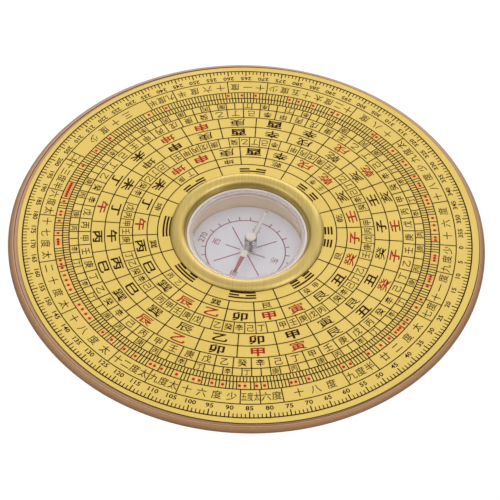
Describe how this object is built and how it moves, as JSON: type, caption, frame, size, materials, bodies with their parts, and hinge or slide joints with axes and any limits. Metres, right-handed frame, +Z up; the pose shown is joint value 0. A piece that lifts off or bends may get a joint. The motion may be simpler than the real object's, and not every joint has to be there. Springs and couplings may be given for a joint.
{
  "type": "feng shui compass",
  "caption": "Round feng shui compass: a ring-printed dial in a dished tray, with a clear magnetic compass capsule turning in the well at its centre.",
  "frame": {"origin": "on the table under the centre of the dial, at the bottom of the foot pads", "axes": "+Z up through the dial's centre, +X towards the dial's 0 degree mark, degrees clockwise seen from above"},
  "size_m": [0.15, 0.15, 0.0152],
  "materials": {
    "tray_paint": "copper-brown satin metallic paint on a casting",
    "dial_print": "yellow enamel with printed rings, satin lacquer",
    "film": "double-sided mounting film",
    "satin_brass": "satin turned",
    "clear_plastic": "clear moulded polystyrene",
    "card_paper": "matt printed card",
    "needle_paint": "gloss enamel, one half pale and one half red",
    "button_plastic": "moulded, satin",
    "pivot_brass": "turned",
    "screw_steel": "zinc plated",
    "foam": "closed-cell foam",
    "cover_plastic": "moulded, fine grain",
    "pad_rubber": "matt"
  },
  "bodies": {
    "base": {"tray_body": "tray_paint", "dial_plate": "dial_print", "plate_film": "film", "bezel_ring": "satin_brass", "bottom_cover": "cover_plastic", "capsule_cushion": "foam", "cover_screw_1": "screw_steel", "cover_screw_2": "screw_steel", "cover_screw_3": "screw_steel", "cover_screw_4": "screw_steel", "foot_pad_1": "pad_rubber", "foot_pad_2": "pad_rubber", "foot_pad_3": "pad_rubber", "foot_pad_4": "pad_rubber"},
    "capsule": {"capsule_cup": "clear_plastic", "capsule_lid": "clear_plastic", "compass_card": "card_paper", "pivot_collar": "button_plastic", "pivot_pin": "screw_steel"},
    "needle": {"needle_blade": "needle_paint", "needle_hub": "clear_plastic", "hub_collar": "clear_plastic", "hub_jewel": "pivot_brass", "hub_button": "button_plastic"}
  },
  "joints": [
    {"name": "capsule_turn", "type": "hinge", "parent": "base", "child": "capsule", "pos_m": [0, 0, 0.00315], "axis": [0, 0, 1], "continuous": true},
    {"name": "needle_spin", "type": "hinge", "parent": "capsule", "child": "needle", "pos_m": [0.00125, 0.0002, 0.0095], "axis": [0, 0, 1], "continuous": true}
  ]
}
